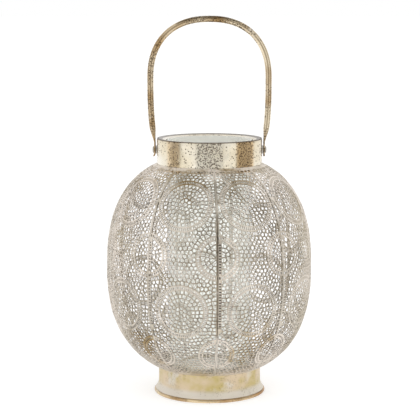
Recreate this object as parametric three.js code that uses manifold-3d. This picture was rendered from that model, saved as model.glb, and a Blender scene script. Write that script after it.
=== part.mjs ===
import * as THREE from 'three';
import { mergeVertices } from 'three/addons/utils/BufferGeometryUtils.js';
import Module from 'manifold-3d';

// Metal lantern: a lobed shell of pierced sheet gores between a neck collar and a flared foot,
// with a glass cylinder on a base pan inside it and a bail handle riveted to the neck.
// Millimetres, +Z up, the front towards -Y, the origin on the floor under the centre.

// Clearances
const gap = 0.3; // between two pieces that touch
const seamGap = 0.4; // between one gore's edge and the next
const glassClearance = 1; // all round the glass, in the lip and round the pan's seat

// Sheet and wall thicknesses
const shellSheet = 0.8;
const collarSheet = 1;
const lipSheet = 0.8;
const panSheet = 1;
const glassWall = 2.5;

// Shell
const goreCount = 9;
const firstSeamTurn = 4.5; // degrees from the front towards +X
const shellRadius = 105.6; // at the middle of a gore, where the shell is widest
const shellHeight = 210;
const bellyRise = 101; // from the shell's bottom edge up to its widest place
const upperSquareness = 2.52; // exponent of the curve above the widest place
const lowerSquareness = 2.38; // and below it
const creaseDepth = 2; // how far the seams lie inside the gores' crowns

// Plain grid of openings in each gore, which stands for the finely pierced sheet
const openingColumns = 4;
const openingRows = 12;
const openShare = 0.7; // of the way from one opening to the next
const footBand = 9; // plain metal along a gore's lower edge
const neckBand = 4.5; // and along its upper edge

// Glass
const glassRadius = 43.3;
const glassBelowRim = 1.6;

// Foot
const footHeight = 27; // floor to the shell's bottom edge
const footTuck = 4; // the collar runs on this far inside the shell
const flareHeight = 12; // floor to the start of the flare
const flareReach = 3.5; // how far the flare spreads
const beadRadius = 1.7; // of the wire rolled in under the flare
const beadFlat = 1.4; // width of the ground flat that the lantern stands on

// Base pan
const panRise = 1; // the pan's top above the shell's bottom edge
const panSkirt = 8;
const panLedge = 7.9; // flat from the glass out to the pan's edge
const seatRise = 3; // the pressed-up middle, which holds the candle and keeps the glass centred

// Neck
const neckHeight = 25.7; // shell's top edge to the rim
const neckTuck = 6; // the collar runs on this far inside the shell
const lipWidth = 8.2; // from the collar's inner wall in to the mouth
const lipDrop = 2; // how far the lip slopes down to the mouth
const lipInset = 0.6; // the lip's outer edge below the rim

// Bail handle and its rivets
const pivotBelowRim = 11.9;
const bailRise = 132.2; // pivot to the middle of the tube at the top
const bailHalfSpan = 59.9; // to the middle of the tube, where the bail is widest
const archRise = 59.7; // height of the bent part
const archSquareness = 2.3;
const tubeRadius = 3.2;
const tabThickness = 1.8;
const tabWidth = 9;
const tabTip = 7; // the tab's end below the pivot
const tabRun = 8; // the tab stays flat this far above the pivot
const swageRun = 16; // length over which the flat tab turns into round tube
const washerThickness = 0.6;
const washerRadius = 4.3;
const rivetRadius = 2;
const rivetHeadRadius = 3.6;
const rivetHeadHeight = 1.6;
const rivetTailRadius = 3.2;
const rivetTailHeight = 1.2;

// Fineness of the facets
const roundSides = 60;
const smallSides = 20;
const curveSteps = 400; // for measuring along the shell's curve
const tubeSides = 12;
const archSteps = 28;
const legSteps = 5;
const swageSteps = 5;
const tipSteps = 4;

// Heights
const shellBottom = footHeight;
const shellTop = shellBottom + shellHeight;
const belly = shellBottom + bellyRise;
const rim = shellTop + neckHeight;
const panTop = shellBottom + panRise;
const seatTop = panTop + seatRise;
const pivot = rim - pivotBelowRim;
const archBase = pivot + bailRise - archRise;

// Radii from the glass outwards
const mouthRadius = glassRadius + glassClearance;
const neckRadius = mouthRadius + lipWidth + collarSheet;
const seatRadius = glassRadius - glassWall - glassClearance;
const panRadius = glassRadius + panLedge;
const footRadius = panRadius + gap + collarSheet;

// Stack along the pivot axis, from the collar outwards
const washerInner = neckRadius + gap;
const tabInner = washerInner + washerThickness + gap;
const tabMiddle = tabInner + tabThickness / 2;
const headInner = tabInner + tabThickness + gap;

const wasm = await Module();
wasm.setup();

function paint(color, roughness, metalness) {
  return new THREE.MeshStandardMaterial({ color, roughness, metalness });
}

const piercedMetal = paint(0xc3bcae, 0.5, 0.6);
const brushedGold = paint(0xc8b68f, 0.38, 0.85);
const tubeGold = paint(0xb9a888, 0.45, 0.8);
const dullSteel = paint(0xa9a79f, 0.5, 0.8);
const clearGlass = paint(0xd5ded9, 0.08, 0);

function toManifold(geometry) {
  const bare = geometry.clone();
  bare.deleteAttribute('normal');
  bare.deleteAttribute('uv');
  const merged = mergeVertices(bare, 1e-4);
  return new wasm.Manifold(
    new wasm.Mesh({
      numProp: 3,
      vertProperties: new Float32Array(merged.attributes.position.array),
      triVerts: new Uint32Array(merged.index.array),
    })
  );
}

function fromManifold(manifold) {
  const mesh = manifold.getMesh();
  const geometry = new THREE.BufferGeometry();
  geometry.setAttribute('position', new THREE.BufferAttribute(mesh.vertProperties, 3));
  geometry.setIndex(new THREE.BufferAttribute(mesh.triVerts, 1));
  geometry.computeVertexNormals();
  return geometry;
}

// Turns a closed outline of [radius, height] points round the Z axis. Seen with the radius
// to the right and the height up, the outline runs anticlockwise.
function turned(outline, sides = roundSides) {
  const points = outline.map(([r, z]) => new THREE.Vector2(r, z));
  const first = points[0];
  const last = points[points.length - 1];
  if (first.x > 0 || last.x > 0) points.push(first.clone());
  return new THREE.LatheGeometry(points, sides).rotateX(Math.PI / 2);
}

// Joins rings that hold the same number of points into a closed skin with capped ends.
function lofted(rings) {
  const count = rings[0].length;
  const position = rings.flat().flatMap((point) => point.toArray());
  const index = [];
  for (let ring = 0; ring < rings.length - 1; ring++) {
    for (let i = 0; i < count; i++) {
      const a = ring * count + i;
      const b = ring * count + ((i + 1) % count);
      index.push(a, b, b + count, a, b + count, a + count);
    }
  }
  const end = (rings.length - 1) * count;
  for (let i = 1; i < count - 1; i++) {
    index.push(0, i + 1, i);
    index.push(end, end + i, end + i + 1);
  }
  const geometry = new THREE.BufferGeometry();
  geometry.setAttribute('position', new THREE.Float32BufferAttribute(position, 3));
  geometry.setIndex(index);
  geometry.computeVertexNormals();
  return geometry;
}

// Rod along X that bores a rivet hole through one side of the neck.
function rivetBore(side) {
  const bore = new THREE.CylinderGeometry(rivetRadius + gap, rivetRadius + gap, neckRadius, smallSides);
  bore.rotateZ(Math.PI / 2);
  bore.translate(side * neckRadius, 0, pivot);
  return toManifold(bore);
}

// Half height that brings the curve in from its widest radius to the end radius over the rise.
function halfHeight(rise, endRadius, squareness) {
  return rise / (1 - (endRadius / shellRadius) ** squareness) ** (1 / squareness);
}

// Point on the shell's curve as [radius, height, fullness]. The place runs from -1 at the foot
// through 0, where the shell is widest, to 1 at the neck. The inset is how far the point lies
// inside the outer face, and the fullness is 0 at either end and 1 at the widest place.
function curvePoint(place, inset) {
  const upper = place > 0;
  const endRadius = (upper ? neckRadius : footRadius) + gap;
  const squareness = upper ? upperSquareness : lowerSquareness;
  const rise = upper ? shellHeight - bellyRise : bellyRise;
  const widest = shellRadius - inset;
  const height = halfHeight(rise, endRadius, squareness) - inset;
  const angle = Math.abs(place) * Math.acos((endRadius / widest) ** (squareness / 2));
  const radius = widest * Math.cos(angle) ** (2 / squareness);
  const z = belly + Math.sign(place) * height * Math.sin(angle) ** (2 / squareness);
  return [radius, z, (radius - endRadius) / (widest - endRadius)];
}

// Both edges of each of a row of openings between two ends.
function openingEdges(start, end, count) {
  const pitch = (end - start) / count;
  const edges = [];
  for (let i = 0; i < count; i++) {
    const middle = start + (i + 0.5) * pitch;
    edges.push(middle - (openShare / 2) * pitch, middle + (openShare / 2) * pitch);
  }
  return edges;
}

// Places on the curve of the gore's ends and of the edges of its openings, which are evenly
// spaced along the sheet.
function gridPlaces() {
  const lengths = [0];
  let before = curvePoint(-1, 0);
  for (let step = 1; step <= curveSteps; step++) {
    const here = curvePoint((2 * step) / curveSteps - 1, 0);
    lengths.push(lengths[step - 1] + Math.hypot(here[0] - before[0], here[1] - before[1]));
    before = here;
  }
  function placeAt(length) {
    const step = lengths.findIndex((reached) => reached >= length);
    const share = (length - lengths[step - 1]) / (lengths[step] - lengths[step - 1]);
    return (2 * (step - 1 + share)) / curveSteps - 1;
  }
  return [-1, ...openingEdges(footBand, lengths[curveSteps] - neckBand, openingRows).map(placeAt), 1];
}

// One gore of the shell, crowned across its width so that the seams lie in creases.
function gore(number) {
  const halfTurn = Math.PI / goreCount;
  const middle = THREE.MathUtils.degToRad(firstSeamTurn) + halfTurn * (2 * number - 1);
  const places = gridPlaces();
  const acrosses = [-1, ...openingEdges(-1, 1, openingColumns), 1];
  function skin(inset) {
    return places.map((place) => {
      const [radius, z, fullness] = curvePoint(place, inset);
      return acrosses.map((across) => {
        const turn = middle + across * (halfTurn - seamGap / 2 / radius);
        const r = radius - creaseDepth * fullness * across ** 2;
        return new THREE.Vector3(r * Math.sin(turn), -r * Math.cos(turn), z);
      });
    });
  }
  return openSheet(skin(0), skin(shellSheet));
}

// Sheet between two skins of rows and columns of points. Every second cell of every second row
// is an opening.
function openSheet(outer, inner) {
  const rows = outer.length;
  const columns = outer[0].length;
  const position = [...outer.flat(), ...inner.flat()].flatMap((point) => point.toArray());
  const index = [];
  function quad(a, b, c, d) {
    index.push(a, b, c, a, c, d);
  }
  function isMetal(row, column) {
    const within = row >= 0 && column >= 0 && row < rows - 1 && column < columns - 1;
    return within && !(row % 2 === 1 && column % 2 === 1);
  }
  const corners = [[0, 0], [0, 1], [1, 1], [1, 0]];
  const beyond = [[-1, 0], [0, 1], [1, 0], [0, -1]];
  for (let row = 0; row < rows - 1; row++) {
    for (let column = 0; column < columns - 1; column++) {
      if (!isMetal(row, column)) continue;
      const front = corners.map(([up, along]) => (row + up) * columns + column + along);
      const back = front.map((point) => point + rows * columns);
      quad(...front);
      quad(...[...back].reverse());
      beyond.forEach(([up, along], side) => {
        if (isMetal(row + up, column + along)) return;
        const next = (side + 1) % corners.length;
        quad(front[side], back[side], back[next], front[next]);
      });
    }
  }
  const geometry = new THREE.BufferGeometry();
  geometry.setAttribute('position', new THREE.Float32BufferAttribute(position, 3));
  geometry.setIndex(index);
  geometry.computeVertexNormals();
  return geometry;
}

function neckCollar() {
  const low = shellTop - neckTuck;
  const inner = neckRadius - collarSheet;
  const band = toManifold(turned([[inner, low], [neckRadius, low], [neckRadius, rim], [inner, rim]]));
  return fromManifold(band.subtract(rivetBore(1)).subtract(rivetBore(-1)));
}

function neckLip() {
  const outer = neckRadius - collarSheet - gap;
  const top = rim - lipInset;
  return turned([
    [mouthRadius, top - lipDrop - lipSheet],
    [outer, top - lipSheet],
    [outer, top],
    [mouthRadius, top - lipDrop],
  ]);
}

function footCollar() {
  const inner = footRadius - collarSheet;
  const top = shellBottom + footTuck;
  const low = 2 * beadRadius + gap;
  const flareSteps = 4;
  const outline = [];
  function flare(faceRadius, step) {
    const share = step / flareSteps;
    return [faceRadius + flareReach * (1 - Math.cos((share * Math.PI) / 2)), flareHeight - share * (flareHeight - low)];
  }
  outline.push([inner, top]);
  for (let step = 0; step <= flareSteps; step++) outline.push(flare(inner, step));
  for (let step = flareSteps; step >= 0; step--) outline.push(flare(footRadius, step));
  outline.push([footRadius, top]);
  return turned(outline);
}

// Rolled wire under the flare, ground flat where it stands.
function footBead() {
  const centre = footRadius - collarSheet / 2 + flareReach;
  const half = beadFlat / 2;
  const start = Math.asin(half / beadRadius);
  const drop = Math.sqrt(beadRadius ** 2 - half ** 2);
  const corners = 9;
  const outline = [];
  for (let corner = 0; corner < corners; corner++) {
    const angle = start + ((2 * Math.PI - 2 * start) * corner) / (corners - 1);
    outline.push([centre + beadRadius * Math.sin(angle), drop - beadRadius * Math.cos(angle)]);
  }
  return turned(outline);
}

function basePan() {
  const under = panTop - panSheet;
  const skirtInner = panRadius - panSheet;
  const seatInner = seatRadius - panSheet;
  return turned([
    [0, seatTop - panSheet],
    [seatInner, seatTop - panSheet],
    [seatInner, under],
    [skirtInner, under],
    [skirtInner, panTop - panSkirt],
    [panRadius, panTop - panSkirt],
    [panRadius, panTop],
    [seatRadius, panTop],
    [seatRadius, seatTop],
    [0, seatTop],
  ]);
}

function glassCylinder() {
  const low = panTop + gap;
  const top = rim - glassBelowRim;
  const inner = glassRadius - glassWall;
  return turned([[inner, low], [glassRadius, low], [glassRadius, top], [inner, top]]);
}

// Section of the bail across its run: squareness 2 is round tube, and more is flattened tab.
function bailSection(centre, outward, halfThickness, halfWidth, squareness) {
  const ring = [];
  for (let i = 0; i < tubeSides; i++) {
    const angle = (2 * Math.PI * i) / tubeSides;
    const c = Math.cos(angle);
    const s = Math.sin(angle);
    const across = Math.sign(c) * Math.abs(c) ** (2 / squareness) * halfThickness;
    const along = Math.sign(s) * Math.abs(s) ** (2 / squareness) * halfWidth;
    ring.push(new THREE.Vector3(centre.x + outward.x * across, along, centre.y + outward.y * across));
  }
  return ring;
}

// The bail's +X side from the tab's tip up to the start of the arch.
function bailLeg() {
  const sections = [];
  const tabTop = pivot + tabRun;
  const tipRound = tabWidth / 2;
  const tipCentre = pivot - tabTip + tipRound;
  const flatSquareness = 7;
  const tipEnd = 0.94; // share of the quarter turn at which the tip is closed off
  const outward = new THREE.Vector2(1, 0);
  function legX(z) {
    const share = (z - tabTop) / (archBase - tabTop);
    return tabMiddle + (bailHalfSpan - tabMiddle) * (1 - (1 - share) ** 3);
  }
  for (let step = tipSteps; step >= 0; step--) {
    const angle = (Math.PI / 2) * tipEnd * (step / tipSteps);
    const centre = new THREE.Vector2(tabMiddle, tipCentre - tipRound * Math.sin(angle));
    sections.push([centre, outward, tabThickness / 2, tipRound * Math.cos(angle), flatSquareness]);
  }
  for (let step = 0; step <= swageSteps; step++) {
    const share = step / swageSteps;
    const ease = share ** 2 * (3 - 2 * share);
    const z = tabTop + share * swageRun;
    const halfThickness = THREE.MathUtils.lerp(tabThickness / 2, tubeRadius, ease);
    const halfWidth = THREE.MathUtils.lerp(tipRound, tubeRadius, ease);
    const squareness = THREE.MathUtils.lerp(flatSquareness, 2, ease ** 0.5);
    sections.push([new THREE.Vector2(legX(z), z), outward, halfThickness, halfWidth, squareness]);
  }
  const swageTop = tabTop + swageRun;
  for (let step = 1; step < legSteps; step++) {
    const z = swageTop + ((archBase - swageTop) * step) / legSteps;
    sections.push([new THREE.Vector2(legX(z), z), outward, tubeRadius, tubeRadius, 2]);
  }
  return sections;
}

function bailArch() {
  const sections = [];
  for (let step = 0; step <= archSteps; step++) {
    const angle = (Math.PI * step) / archSteps;
    const c = Math.cos(angle);
    const s = Math.sin(angle);
    const x = Math.sign(c) * Math.abs(c) ** (2 / archSquareness) * bailHalfSpan;
    const z = archBase + Math.abs(s) ** (2 / archSquareness) * archRise;
    const nx = Math.sign(c) * Math.abs(x / bailHalfSpan) ** (archSquareness - 1) / bailHalfSpan;
    const nz = ((z - archBase) / archRise) ** (archSquareness - 1) / archRise;
    sections.push([new THREE.Vector2(x, z), new THREE.Vector2(nx, nz).normalize(), tubeRadius, tubeRadius, 2]);
  }
  return sections;
}

function bailHandle() {
  const right = bailLeg();
  const left = right
    .map(([centre, outward, ...sizes]) => [
      new THREE.Vector2(-centre.x, centre.y),
      new THREE.Vector2(-outward.x, outward.y),
      ...sizes,
    ])
    .reverse();
  const rings = [...right, ...bailArch(), ...left].map((section) => bailSection(...section));
  return fromManifold(toManifold(lofted(rings)).subtract(rivetBore(1)).subtract(rivetBore(-1)));
}

// The rivet is drawn along Z from the axis of the lantern outwards, then laid along X.
function rivet() {
  const collarInner = Math.sqrt((neckRadius - collarSheet) ** 2 - rivetTailRadius ** 2);
  const tailTop = collarInner - gap;
  const outline = [
    [0, tailTop - rivetTailHeight],
    [rivetTailRadius, tailTop - rivetTailHeight],
    [rivetTailRadius, tailTop],
    [rivetRadius, tailTop],
    [rivetRadius, headInner],
  ];
  const domeSteps = 5;
  for (let step = 0; step <= domeSteps; step++) {
    const angle = (Math.PI / 2) * (step / domeSteps);
    const radius = step === domeSteps ? 0 : rivetHeadRadius * Math.cos(angle);
    outline.push([radius, headInner + rivetHeadHeight * Math.sin(angle)]);
  }
  return turned(outline, smallSides);
}

function washer() {
  const bore = rivetRadius + gap;
  const outer = washerInner + washerThickness;
  return turned([[bore, washerInner], [washerRadius, washerInner], [washerRadius, outer], [bore, outer]], smallSides);
}

const lantern = new THREE.Group();

function place(name, geometry, material, parent = lantern) {
  const mesh = new THREE.Mesh(geometry, material);
  mesh.name = name;
  parent.add(mesh);
}

for (let number = 1; number <= goreCount; number++) {
  place(`shell_gore_${number}`, gore(number), piercedMetal);
}
place('neck_collar', neckCollar(), brushedGold);
place('neck_lip', neckLip(), brushedGold);
place('foot_collar', footCollar(), brushedGold);
place('foot_bead', footBead(), brushedGold);
place('base_pan', basePan(), dullSteel);
place('glass_cylinder', glassCylinder(), clearGlass);
place('bail_handle', bailHandle(), tubeGold);

// Rivet and washer on each side of the neck, along the pivot axis
for (const [side, turn] of [['right', 1], ['left', -1]]) {
  const pivotEnd = new THREE.Group();
  pivotEnd.position.z = pivot;
  pivotEnd.rotation.y = (turn * Math.PI) / 2;
  lantern.add(pivotEnd);
  place(`bail_rivet_${side}`, rivet(), dullSteel, pivotEnd);
  place(`bail_washer_${side}`, washer(), dullSteel, pivotEnd);
}

export default lantern;
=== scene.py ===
import math
import random

import bmesh
import bpy
import numpy as np
from mathutils import Matrix, Vector, geometry, kdtree


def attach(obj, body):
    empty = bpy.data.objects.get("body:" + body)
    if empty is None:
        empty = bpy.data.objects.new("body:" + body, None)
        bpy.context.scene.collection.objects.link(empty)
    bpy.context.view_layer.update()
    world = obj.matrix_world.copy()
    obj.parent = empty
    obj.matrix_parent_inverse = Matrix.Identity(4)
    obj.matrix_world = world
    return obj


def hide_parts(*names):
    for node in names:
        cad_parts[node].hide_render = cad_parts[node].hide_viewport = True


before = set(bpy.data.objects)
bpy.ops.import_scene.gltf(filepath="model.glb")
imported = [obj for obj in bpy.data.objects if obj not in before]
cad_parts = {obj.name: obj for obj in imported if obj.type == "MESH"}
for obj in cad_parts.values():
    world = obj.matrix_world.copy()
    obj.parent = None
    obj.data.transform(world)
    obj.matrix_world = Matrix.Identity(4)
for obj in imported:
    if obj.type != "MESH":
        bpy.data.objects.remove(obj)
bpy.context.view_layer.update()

mm = 0.001
random.seed(7)


def deselectAll():
    if bpy.context.mode != "OBJECT":
        bpy.ops.object.mode_set(mode="OBJECT")
    bpy.ops.object.select_all(action="DESELECT")


def makeActive(piece):
    deselectAll()
    piece.select_set(True)
    bpy.context.view_layer.objects.active = piece


def editAll(piece):
    # edit mode with the whole mesh selected
    makeActive(piece)
    bpy.ops.object.mode_set(mode="EDIT")
    bpy.ops.mesh.select_all(action="SELECT")


def leaveEdit():
    bpy.ops.object.mode_set(mode="OBJECT")


def applyModifiers(piece):
    makeActive(piece)
    for modifier in list(piece.modifiers):
        bpy.ops.object.modifier_apply(modifier=modifier.name)


def placeIntoMesh():
    bpy.ops.object.transform_apply(location=True, rotation=True, scale=True)


def settle(piece, smoothAngle):
    # puts the place into the mesh, so that the object itself stands at the origin
    makeActive(piece)
    placeIntoMesh()
    bpy.ops.object.shade_smooth_by_angle(angle=math.radians(smoothAngle))
    deselectAll()


def closeUp(piece):
    # merges doubles and turns all faces outwards
    editAll(piece)
    bpy.ops.mesh.remove_doubles(threshold=0.00001)
    bpy.ops.mesh.normals_make_consistent(inside=False)
    leaveEdit()


def addSlots(piece, count):
    # empty material slots, which the wall's inner side and rim are counted off in
    for _ in range(count):
        piece.data.materials.append(None)


def addWall(piece, sheet, offset=-1):
    wall = piece.modifiers.new("wall", "SOLIDIFY")
    wall.thickness = sheet * mm
    wall.offset = offset
    wall.use_even_offset = True
    return wall


def addRounding(piece, width, segments=2):
    rounding = piece.modifiers.new("rounding", "BEVEL")
    rounding.width = width * mm
    rounding.segments = segments
    rounding.limit_method = "ANGLE"
    rounding.angle_limit = math.radians(50)


def standsFor(piece, node, body="lantern"):
    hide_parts(node)
    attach(piece, body)


def dress(piece, *materials):
    # fills the empty slots first, and adds slots for the rest
    slots = piece.data.materials
    for index, material in enumerate(materials):
        if index < len(slots):
            slots[index] = material
        else:
            slots.append(material)


# Turns a profile of (radius, height) in millimetres into a round skin, ring by ring, from a circle
def turnSkin(name, profile, sides, capFirst=False, capLast=False):
    deselectAll()
    radius, height = profile[0]
    bpy.ops.mesh.primitive_circle_add(vertices=sides, radius=radius * mm, location=(0, 0, 0))
    piece = bpy.context.object
    piece.name = piece.data.name = name
    editAll(piece)
    bpy.ops.transform.translate(value=(0, 0, height * mm))
    if capFirst:
        bpy.ops.mesh.edge_face_add()
    for nextRadius, nextHeight in profile[1:]:
        bpy.ops.mesh.extrude_edges_move(TRANSFORM_OT_translate={"value": (0, 0, (nextHeight - height) * mm)})
        grow = nextRadius / radius
        bpy.ops.transform.resize(value=(grow, grow, 1), center_override=(0, 0, nextHeight * mm))
        radius, height = nextRadius, nextHeight
    if capLast:
        bpy.ops.mesh.edge_face_add()
    leaveEdit()
    closeUp(piece)
    return piece


def raiseLap(piece, turn, width, rise):
    # the lapped end of a rolled sheet stands proud at its edge and runs out into the band
    for vert in piece.data.vertices:
        past = math.degrees(math.atan2(vert.co.x, -vert.co.y)) - turn
        if 0 <= past < width:
            out = 1 + rise * mm * (1 - past / width) / math.hypot(vert.co.x, vert.co.y)
            vert.co.x *= out
            vert.co.y *= out


# Gives a turned skin its lap, wall and rounded edges
def finishSheet(piece, sheet, rounding, segments=2, offset=-1, smoothAngle=35, lap=None, innerSlot=0):
    if lap:
        raiseLap(piece, *lap)
    if innerSlot:
        addSlots(piece, innerSlot + 1)
    addWall(piece, sheet, offset).material_offset = innerSlot
    addRounding(piece, rounding, segments)
    applyModifiers(piece)
    settle(piece, smoothAngle)


def tone(red, green, blue):
    # a screen colour, in levels from 0 to 255, as the shader wants it
    shares = (level / 255 for level in (red, green, blue))
    return tuple(((s + 0.055) / 1.055) ** 2.4 if s > 0.04 else s / 12.92 for s in shares) + (1,)


def feed(tree, value, socket):
    # a socket takes a plain value, or what another node puts out
    if isinstance(value, bpy.types.NodeSocket):
        tree.links.new(value, socket)
    else:
        socket.default_value = value


def addNode(tree, kind, inputs, **settings):
    node = tree.nodes.new("ShaderNode" + kind)
    for name, value in settings.items():
        setattr(node, name, value)
    for name, value in inputs.items():
        feed(tree, value, node.inputs[name])
    return node


def addMath(tree, operation, first, *others):
    for other in others:
        first = addNode(tree, "Math", {0: first, 1: other}, operation=operation).outputs[0]
    return first


def times(tree, *values):
    return addMath(tree, "MULTIPLY", *values)


def plus(tree, *values):
    return addMath(tree, "ADD", *values)


def minus(tree, first, second):
    return addMath(tree, "SUBTRACT", first, second)


def largest(tree, *values):
    return addMath(tree, "MAXIMUM", *values)


def easeTo(tree, value, low, high):
    # 0 at the first limit and 1 at the second, with soft ends
    limits = {"Value": value, "From Min": low, "From Max": high}
    return addNode(tree, "MapRange", limits, interpolation_type="SMOOTHSTEP").outputs["Result"]


def between(tree, value, low, high, soft):
    # 1 between two limits, easing to 0 over a soft margin outside them
    return times(tree, easeTo(tree, value, low - soft, low), easeTo(tree, value, high + soft, high))


def mixColor(tree, share, first, second):
    node = addNode(tree, "Mix", {}, data_type="RGBA")
    sockets = [socket for socket in node.inputs if socket.enabled]
    for value, socket in zip((share, first, second), sockets):
        feed(tree, value, socket)
    return [socket for socket in node.outputs if socket.enabled][0]


def addNoise(tree, place, size, detail, roughness, distortion=0):
    look = {"Scale": size, "Detail": detail, "Roughness": roughness, "Distortion": distortion}
    return addNode(tree, "TexNoise", {"Vector": place, **look}).outputs["Fac"]


def newGroup(name, *labels):
    # a group that takes a vector and some numbers, and puts out a mask
    group = bpy.data.node_groups.new(name, "ShaderNodeTree")
    group.interface.new_socket("Vector", in_out="INPUT", socket_type="NodeSocketVector")
    for label in labels:
        group.interface.new_socket(label, in_out="INPUT", socket_type="NodeSocketFloat")
    group.interface.new_socket("Mask", in_out="OUTPUT", socket_type="NodeSocketFloat")
    given = group.nodes.new("NodeGroupInput").outputs
    return group, given, group.nodes.new("NodeGroupOutput").inputs["Mask"]


# Pits: separate dark specks, some gathered in patches and some spread where they are asked for
def makePits():
    group, given, mask = newGroup("pits", "Size", "Patches", "Gathered", "Spread")
    specks = addNode(group, "TexVoronoi", {"Vector": given["Vector"], "Scale": given["Size"]})
    patches = addNoise(group, given["Vector"], given["Patches"], 2, 0.5)
    gather = times(group, easeTo(group, patches, 0.38, 0.62), given["Gathered"])
    chance = addNode(group, "SeparateColor", {0: specks.outputs["Color"]}).outputs[0]
    there = easeTo(group, minus(group, largest(group, gather, given["Spread"]), chance), 0.0, 0.12)
    speck = easeTo(group, specks.outputs["Distance"], 0.62, 0.34)
    feed(group, times(group, there, speck), mask)
    return group


# Wash: whitish paint rubbed back in clouds
def makeWash():
    group, given, mask = newGroup("wash", "Size", "Cover")
    clouds = addNoise(group, given["Vector"], given["Size"], 5, 0.62, 0.4)
    low = minus(group, 0.72, times(group, given["Cover"], 0.44))
    feed(group, easeTo(group, clouds, low, plus(group, low, 0.14)), mask)
    return group


pits, wash = makePits(), makeWash()


def addMask(tree, group, place, **values):
    return addNode(tree, "Group", {"Vector": place, **values}, node_tree=group).outputs["Mask"]


def newMaterial(name, metallic, roughness):
    material = bpy.data.materials.new(name)
    material.use_nodes = True
    tree = material.node_tree
    shader = tree.nodes["Principled BSDF"].inputs
    shader["Metallic"].default_value = metallic
    shader["Roughness"].default_value = roughness
    return material, tree, shader, addNode(tree, "TexCoord", {}).outputs["Object"]


def addBump(tree, shader, height, distance):
    bump = addNode(tree, "Bump", {"Height": height, "Distance": distance, "Strength": 1})
    feed(tree, bump.outputs["Normal"], shader["Normal"])


# what the aged finishes share, with lengths in metres
agedLook = {
    "front": (0, -0.01), "spotMargin": 0.004, "warmEase": (0.35, 0.65), "footWhite": 0.85, "rimShadow": 0.9,
    "whiteDulls": 0.6, "pitRoughness": 0.25, "whiteRoughness": 0.2, "dentSize": 70, "pitDepth": 0.00008,
}


# Aged gold: gold, clouds of wash and dark pits, for the collars, the bead and the bail, and a painted shadow
# line along a rim where one is asked for. The spots are stretches of the front from one X to another, with
# their shares of specks, paleness and brown; on the neck they are partly painted reflection.
def agedGold(name, finish):
    material, tree, shader, place = newMaterial(name, finish["metallic"], finish["roughness"])
    x, y, z = addNode(tree, "SeparateXYZ", {0: place}).outputs
    facing = easeTo(tree, y, *agedLook["front"])
    shares = [0.0, 0.0, 0.0]
    for low, high, *strengths in finish.get("spots", ()):
        spot = times(tree, between(tree, x, low, high, agedLook["spotMargin"]), facing)
        shares = [largest(tree, most, times(tree, spot, share)) for most, share in zip(shares, strengths)]
    specks, pale, brown = shares
    gathered = {"Size": finish["pitSize"], "Patches": finish["patches"], "Gathered": finish["pits"]}
    pitted = addMask(tree, pits, place, Spread=specks, **gathered)
    washed = addMask(tree, wash, place, Size=finish["washSize"], Cover=finish["wash"])
    warm = addNoise(tree, place, finish["warmSize"], 2, 0.5)
    white = largest(tree, times(tree, washed, finish["washStrength"]), pale)
    if "washBelow" in finish:
        low = easeTo(tree, z, finish["washBelow"] + 0.003, finish["washBelow"] - 0.002)
        white = largest(tree, white, times(tree, low, agedLook["footWhite"]))
    color = mixColor(tree, easeTo(tree, warm, *agedLook["warmEase"]), finish["gold"], finish["warm"])
    color = mixColor(tree, brown, color, finish.get("brown", finish["warm"]))
    color = mixColor(tree, white, color, finish["white"])
    dark = times(tree, pitted, finish["pitStrength"])
    # painted shadow: a dark line along the top edge, where the rim meets the lip
    if "shadowAbove" in finish:
        edge = easeTo(tree, z, finish["shadowAbove"] - 0.0003, finish["shadowAbove"] + 0.0003)
        dark = largest(tree, dark, times(tree, edge, agedLook["rimShadow"]))
    feed(tree, mixColor(tree, dark, color, finish["dark"]), shader["Base Color"])
    dulled = {0: finish["metallic"], 1: times(tree, white, agedLook["whiteDulls"])}
    metal = addNode(tree, "Math", dulled, operation="SUBTRACT", use_clamp=True)
    feed(tree, metal.outputs[0], shader["Metallic"])
    rough = plus(tree, times(tree, white, agedLook["whiteRoughness"]), finish["roughness"])
    rough = plus(tree, times(tree, pitted, agedLook["pitRoughness"]), rough)
    feed(tree, rough, shader["Roughness"])
    dents = times(tree, addNoise(tree, place, agedLook["dentSize"], 1, 0.4), finish.get("dents", 0.0))
    addBump(tree, shader, minus(tree, dents, times(tree, pitted, agedLook["pitDepth"])), 1)
    return material


# Shell: lengths are in millimetres, and points on the flat sheet of a gore are across and up it
shell = {
    "gores": 9,
    "firstSeam": 4.5,  # degrees from the front towards +X
    "seamGap": 0.28,
    "widest": 105.6,
    "foot": (52.8, 27.0),  # radius and height of the lower edge
    "belly": 128.0,
    "neck": (53.8, 237.0),
    "lowerSquareness": 2.38,
    "upperSquareness": 2.52,
    "crease": 2.0,
    "sheet": 0.6,
    "taper": 0.22,  # how far a hole narrows towards the inside
    "edge": 1.0,  # plain metal along a seam
    "plainFoot": 9.0,
    "plainNeck": 4.5,
    "crest": 0.28,  # how far the rings stand proud
    "smallestHole": 1.2,  # in square millimetres
    "slotMargin": 0.9,
    # points of the sheet's border and of its plain bands, and how close they stand on a ring
    "sidePoints": 110,
    "endPoints": 17,
    "plainRows": (2.5, 5.0, 7.3),
    "rowUnderNeck": 2.3,
    "ringStep": 1.8,
}
halfTurn = math.pi / shell["gores"]
# cells between the medallions, with rows and jitter as shares of a cell
cells = {
    "size": 4.45, "web": 0.66, "across": 45, "rowStep": 0.87, "firstRow": 0.45, "lastRow": 0.3, "jitter": 0.3,
    "relaxing": 8, "smallest": 2.5, "sight": 2.4, "cornerCut": 0.11, "shortEdge": 0.5,
}
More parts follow.
